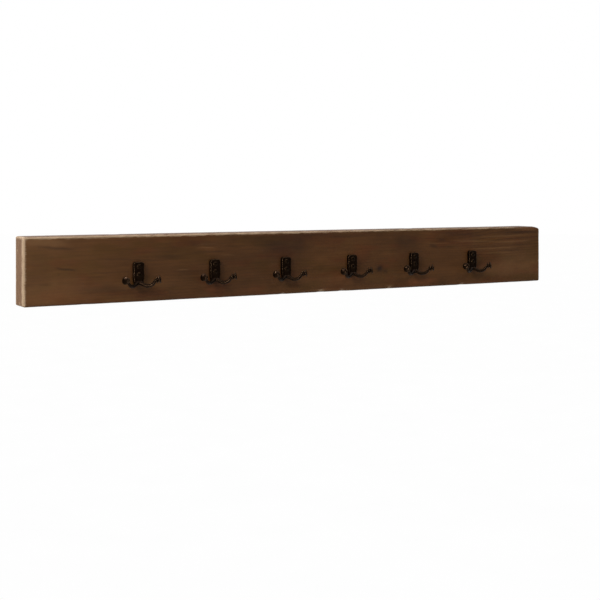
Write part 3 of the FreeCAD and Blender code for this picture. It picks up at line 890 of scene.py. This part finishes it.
def outwardness(mesh, spread):
    """How far each point stands out from its neighbours, as curvature in 1/mm."""
    count = len(mesh.vertices)
    at, out = np.empty(count * 3), np.empty(count * 3)
    mesh.vertices.foreach_get("co", at)
    mesh.vertices.foreach_get("normal", out)
    at, out = at.reshape(-1, 3), out.reshape(-1, 3)
    ends = np.empty(len(mesh.edges) * 2, int)
    mesh.edges.foreach_get("vertices", ends)
    a, b = ends.reshape(-1, 2).T
    step = at[b] - at[a]
    square = np.maximum((step**2).sum(1), 1e-6)
    degree = np.bincount(ends, minlength=count).astype(float)
    bend = np.bincount(a, -(step * out[a]).sum(1) / square, count)
    bend += np.bincount(b, (step * out[b]).sum(1) / square, count)
    bend = 2 * bend / degree
    for _ in range(spread):
        near = np.bincount(a, bend[b], count) + np.bincount(b, bend[a], count)
        bend = 0.5 * bend + 0.5 * near / degree
    return bend


def soften(mesh, passes):
    """Moves every point towards the middle of its neighbours."""
    axes = {f"use_axis_{axis}": True for axis in "xyz"}
    with editing(mesh) as build:
        for _ in range(passes):
            bmesh.ops.smooth_vert(build, verts=build.verts, factor=0.5, **axes)


def cone_cutter(height):
    """The countersunk hole for a screw, from the plate's front through its back."""
    front = Vector((0, -PLATE_DEPTH - 1.5, height))
    profile = [(0, 5.1), (1.5, 3.6), (3.0, 2.1), (PLATE_DEPTH + 3, 2.1)]
    return turned(front, Vector((0, 1, 0)), profile, 36)


def hook_mesh():
    shells = [plate_mesh()]
    for side in (-1, 1):
        shells += [arm_mesh(side), button_mesh(side)]
    mesh = joined("hook", *shells)
    mesh = shaped(mesh, ("REMESH", {"mode": "VOXEL", "voxel_size": HOOK_VOXEL}))
    soften(mesh, 5)
    with editing(mesh) as build:
        build.normal_update()
        for vertex in build.verts:
            depth = 0.05 + 0.05 * wobble(*(vertex.co / 4)) + 0.03 * wobble(*(vertex.co / 1.3))
            vertex.co -= vertex.normal * depth * smooth(-vertex.co.y)
    mesh = cut(mesh, joined("cutter", *(cone_cutter(h) for h in SCREW_HEIGHTS)))
    edge = outwardness(mesh, 3)
    store(mesh, "edge", np.clip(edge / 0.55, 0, 1))
    return in_metres(mesh, 45)


# The screws, about the middle of the head's rim, with the shank along +Y


def screw_mesh(head, dome, shank, length, point, arm, half, recess):
    """A countersunk wood screw with a raised or flat head, a cross recess and a thread."""
    steps = 28
    core, pitch, plain = shank * 0.68, shank * 1.05, shank * 0.93
    rows = []
    if dome:
        radius = (dome * dome + head * head) / (2 * dome)
        rows.append((-dome, 0.02, 0))
        for k in range(1, 12):
            r = head * k / 12
            rows.append((-math.sqrt(radius * radius - r * r) + radius - dome, r, 0))
    else:
        rows += [(0, 0.02, 0), (0, head * 0.5, 0), (0, head * 0.93, 0)]
    rows += [(0.04, head * 0.985, 0), (0.14, head, 0), (0.3, head * 0.97, 0)]
    cone = head - shank
    rim = head * 0.97
    rows += [(0.3 + (cone - 0.3) * k / 4, rim + (plain - rim) * k / 4, 0) for k in range(1, 5)]
    smooth_end = cone + (length - cone) * 0.3
    rows.append((smooth_end, plain, 0))
    at = smooth_end
    while at < length - 0.1:
        share = min(1.0, (at - smooth_end) / 1.5)
        taper = min(1.0, (length - at) / point)
        base = (plain + (core - plain) * share) * taper
        rows.append((at, base, (shank - core) * share * max(0.25, taper)))
        at += pitch / 9
    rows.append((length, 0.03, 0))
    shell = []
    for y, r, ridge in rows:
        row = []
        for k in range(steps):
            turn = k / steps
            angle = 2 * math.pi * turn
            fraction = (y / pitch - turn) % 1.0
            radius = r + ridge * max(0.0, 1 - abs(2 * fraction - 1) * 2.2)
            row.append(Vector((radius * math.cos(angle), y, radius * math.sin(angle))))
        shell.append(row)
    mesh = ring_shell(shell, "screw")
    for angle in (0, math.pi / 2):
        turn = Matrix.Rotation(angle, 3, "Y")
        low, high = [], []
        for sx, sz in ((1, 1), (-1, 1), (-1, -1), (1, -1)):
            corner = Vector((sx * arm, 0, sz * half))
            deep = Vector((sx * arm * 0.45, 0, sz * half * 0.7))
            high.append(turn @ corner + Vector((0, -dome - 0.3, 0)))
            low.append(turn @ deep + Vector((0, -dome + recess, 0)))
        mesh = cut(mesh, ring_shell([high, low], "bar"))
    edge = outwardness(mesh, 1)
    store(mesh, "edge", np.clip(edge / 1.2, 0, 1) * 0.9)
    return in_metres(mesh, 38)


# The keyhole hangers


def hanger_mesh(side):
    low, high = box_mm(f"keyhole_hanger_{side}")
    x, radius = (low.x + high.x) / 2, (high.x - low.x) / 2
    middle = (low.z + high.z) / 2
    mesh = stadium(x, low.z + radius, high.z - radius, radius, low.y, high.y, 32)
    with editing(mesh) as build:
        bmesh.ops.recalc_face_normals(build, faces=build.faces)
        rims = [e for e in build.edges if len({round(v.co.y, 3) for v in e.verts}) == 1]
        rounded(build, rims, 0.25, 3)
    entry, top = middle + KEYHOLE_LOW, middle + KEYHOLE_HIGH
    mesh = cut(mesh, stadium(x, entry, entry, KEYHOLE_ENTRY, low.y - 1, 1, 24))
    mesh = cut(mesh, stadium(x, entry, top, KEYHOLE_SLOT, low.y - 1, 1, 16))
    sink = [(0, 4.0), (1.0, 3.0), (2.5, 1.5), (4.5, 1.5)]
    for height in HANGER_SCREW_HEIGHTS:
        start = Vector((x, 1, middle + height))
        mesh = cut(mesh, turned(start, Vector((0, -1, 0)), sink, 32))
    return in_metres(mesh, 35)


# The studio

FLOOR_HEIGHT, FLOOR_RADII, FLOOR_POINTS = -2.2, (0.3, 3, 8, 20, 60), 48


def build_stage():
    """A wide pale floor far below the rack."""
    points = []
    for radius in FLOOR_RADII:
        for k in range(FLOOR_POINTS):
            angle = 2 * math.pi * k / FLOOR_POINTS
            points.append((radius * math.cos(angle), radius * math.sin(angle), FLOOR_HEIGHT))
    faces = [tuple(range(FLOOR_POINTS))]
    for start in range(0, len(points) - FLOOR_POINTS, FLOOR_POINTS):
        for k in range(FLOOR_POINTS):
            a, b = start + k, start + (k + 1) % FLOOR_POINTS
            faces.append((a, a + FLOOR_POINTS, b + FLOOR_POINTS, b))
    floor = placed("floor", mesh_from("floor", points, faces))
    s = Shader("pale_floor")
    grain = s.noise(s.millimetres(), (400, 400, 400), 2, 0.5)
    colour = s.mix(grain, (0.42, 0.42, 0.42, 1), (0.46, 0.46, 0.46, 1))
    matt = s.node("BsdfDiffuse", {0: colour})
    lit = s.node("Emission", {0: s.mix(grain, (0.985, 0.985, 0.985, 1), (1, 1, 1, 1))})
    seen = s.node("LightPath").outputs["Is Camera Ray"]
    both = s.node("MixShader", {0: seen, 1: matt.outputs[0], 2: lit.outputs[0]})
    s.node("OutputMaterial", {0: both.outputs[0]})
    floor.data.materials.append(s.material)


# How bright the studio is along an axis: (axis, low, high, level below low, level above high)
SKY_LEVELS = ((1, -0.4, 0.6, 0.05, 0.9), (2, 0.25, 0.95, 0.0, 1.2))


def build_world():
    """A white studio, bright above and behind the rack and dim behind the camera."""
    world = bpy.data.worlds.new("studio")
    bpy.context.scene.world = world
    world.use_nodes = True
    tree = world.node_tree
    tree.nodes.clear()
    new, link = tree.nodes.new, tree.links.new
    parts = new("ShaderNodeSeparateXYZ")
    link(new("ShaderNodeTexCoord").outputs["Generated"], parts.inputs[0])
    levels = []
    for axis, *limits in SKY_LEVELS:
        made = new("ShaderNodeMapRange")
        made.interpolation_type = "SMOOTHSTEP"
        link(parts.outputs[axis], made.inputs[0])
        for key, value in enumerate(limits, 1):
            made.inputs[key].default_value = value
        levels.append(made.outputs[0])
    total = new("ShaderNodeMath")
    for key, level in enumerate(levels):
        link(level, total.inputs[key])
    dome, backdrop = new("ShaderNodeBackground"), new("ShaderNodeBackground")
    link(total.outputs[0], dome.inputs[1])
    dome.inputs[0].default_value = (1, 0.99, 0.975, 1)
    backdrop.inputs[0].default_value = (1, 1, 1, 1)
    either = new("ShaderNodeMixShader")
    link(new("ShaderNodeLightPath").outputs["Is Camera Ray"], either.inputs[0])
    link(dome.outputs[0], either.inputs[1])
    link(backdrop.outputs[0], either.inputs[2])
    link(either.outputs[0], new("ShaderNodeOutputWorld").inputs[0])


# (name, place, aim, size, power, shows in reflections, lights matt surfaces)
LAMPS = (
    ("key", (-2.2, -0.9, 1.2), (-0.1, 0, 0), (1.1, 1.3), 50, False, True),
    ("strip", (-2.1, 0.9, 0.8), (-0.3, 0, 0), (0.25, 1.4), 14, True, True),
    ("edge_glint", (-1.3, -1.35, 0.1), (-0.3, -0.05, 0), (0.12, 0.8), 12, True, False),
    ("dome_glint", (-1.1, 0.15, 0.9), (-0.3, -0.05, 0), (0.2, 0.2), 12, True, False),
    ("front", (0.6, -2.2, 2.0), (0, 0, 0), (1.2, 0.6), 10, True, True),
)
LAMP_COLOUR = (1, 0.985, 0.96)


def build_lamps():
    for name, place, aim, size, power, glints, diffuse in LAMPS:
        data = bpy.data.lights.new(name, "AREA")
        data.shape = "RECTANGLE"
        data.size, data.size_y = size
        data.energy = power
        data.color = LAMP_COLOUR
        lamp = placed(name, data)
        lamp.visible_camera = False
        lamp.visible_glossy = glints
        lamp.visible_diffuse = diffuse
        lamp.location = place
        towards = Vector(aim) - Vector(place)
        lamp.rotation_euler = towards.to_track_quat("-Z", "Y").to_euler()


LENS, SENSOR, SHIFT = 67.76, 36, -0.1821
CAMERA_PLACE, CAMERA_TURN = (-0.9404, -1.6092, 0.115), math.radians(-30.167)


def build_camera():
    """The photograph's point of view: at the left of the rack, a little above it, and level."""
    data = bpy.data.cameras.new("camera")
    data.lens = LENS
    data.sensor_width = SENSOR
    data.shift_y = SHIFT
    cam = placed("camera", data)
    cam.location = CAMERA_PLACE
    cam.rotation_euler = (math.pi / 2, 0, CAMERA_TURN)
    bpy.context.scene.camera = cam


# The rack, put together


PLATE_SCREW = {"head": 3.5, "dome": 1.0, "shank": 1.75, "length": 24, "point": 4}
PLATE_RECESS = {"arm": 2.1, "half": 0.45, "recess": 1.5}
HANGER_SCREW = {"head": 2.9, "dome": 0.0, "shank": 1.4, "length": 16, "point": 3}
HANGER_RECESS = {"arm": 1.7, "half": 0.35, "recess": 1.2}


def build_hooks():
    bronze = bronze_material("hook_bronze", srgb(36, 24, 13), srgb(60, 44, 30), 0.34)
    finish = bronze_material("screw_bronze", srgb(38, 26, 14), srgb(84, 64, 44), 0.3)
    hook = hook_mesh()
    screw = screw_mesh(**PLATE_SCREW, **PLATE_RECESS)
    for number in range(1, HOOKS + 1):
        node = f"hook_{number}"
        foot = Matrix.Translation(Vector((hook_x(number), FACE_Y, PLATE_FOOT)) * MM)
        show(f"robe_{node}", hook, bronze, node, foot)
        for row in ROWS:
            node = f"hook_screw_{row}_{number}"
            middle = middle_mm(node)
            rim = box_mm(node)[0].y + PLATE_SCREW["dome"]
            at = Matrix.Translation(Vector((middle.x, rim, middle.z)) * MM)
            turn = Matrix.Rotation(number * 1.1 + (row == "upper") * 0.7, 4, "Y")
            name = f"plate_screw_{row}_{number}"
            show(name, screw, finish, node, at @ turn)


def build_hangers():
    zinc = zinc_material("hanger_steel", srgb(190, 192, 194))
    brass = zinc_material("hanger_screw_steel", srgb(204, 196, 172))
    screw = screw_mesh(**HANGER_SCREW, **HANGER_RECESS)
    backwards = Matrix.Rotation(math.pi, 4, "Z")
    for side in SIDES:
        name, node = f"hanger_plate_{side}", f"keyhole_hanger_{side}"
        show(name, hanger_mesh(side), zinc, node)
        for k, row in enumerate(ROWS):
            node = f"hanger_screw_{side}_{row}"
            middle = middle_mm(node)
            at = Matrix.Translation(Vector((middle.x, box_mm(node)[1].y, middle.z)) * MM)
            turn = backwards @ Matrix.Rotation(k + (side == "left") * 0.6, 4, "Y")
            name = f"hanger_fixing_{side}_{row}"
            show(name, screw, brass, node, at @ turn)


show("plank", plank_mesh(), wood_material(), "board")
build_hooks()
build_hangers()
build_stage()
build_world()
build_lamps()
build_camera()
bpy.context.scene.view_settings.view_transform = "Standard"
